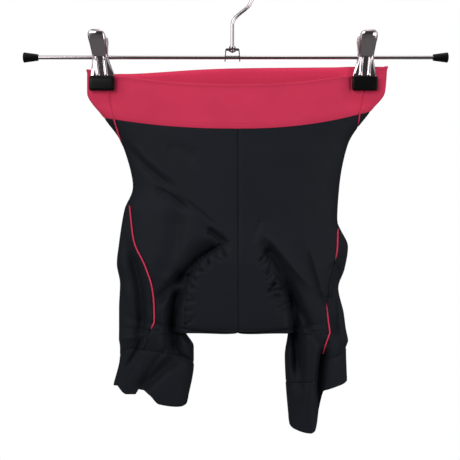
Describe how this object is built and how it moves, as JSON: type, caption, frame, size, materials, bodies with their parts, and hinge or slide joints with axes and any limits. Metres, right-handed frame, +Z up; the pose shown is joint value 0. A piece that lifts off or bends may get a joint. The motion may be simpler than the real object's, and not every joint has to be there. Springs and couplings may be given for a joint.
{
  "type": "sports shorts on a clip hanger",
  "caption": "Padded sports shorts with a coloured waistband and piping, clamped by two clips to a bar hanger with a swivel hook.",
  "frame": {"origin": "inner crown of the hook, where a rail carries it", "axes": "+X to the right seen from the front, -Y to the front, +Z up"},
  "size_m": [0.3998, 0.0894, 0.4401],
  "materials": {
    "black_knit": "matt stretch knit with a slight sheen",
    "raspberry_knit": "smooth stretch knit, fine ribs inside",
    "pad_foam": "brushed pad cover",
    "chrome": "bright plated steel",
    "black_rubber": "matt moulded rubber"
  },
  "bodies": {
    "root": {"front_left": "black_knit", "front_right": "black_knit", "side_left": "black_knit", "side_right": "black_knit", "back_left": "black_knit", "back_right": "black_knit", "leg_band_left": "black_knit", "leg_band_right": "black_knit", "waistband_front": "raspberry_knit", "waistband_back": "raspberry_knit", "piping_left": "raspberry_knit", "piping_right": "raspberry_knit", "seat_pad": "pad_foam", "hanger_bar": "chrome", "hanger_hook": "chrome", "hook_yoke": "chrome", "hook_rivet": "chrome", "clip_front_left": "chrome", "clip_front_right": "chrome", "clip_back_left": "chrome", "clip_back_right": "chrome", "clip_pivot_left": "chrome", "clip_pivot_right": "chrome", "cap_left": "black_rubber", "cap_right": "black_rubber", "foot_front_left": "black_rubber", "foot_front_right": "black_rubber", "foot_back_left": "black_rubber", "foot_back_right": "black_rubber"}
  },
  "joints": []
}
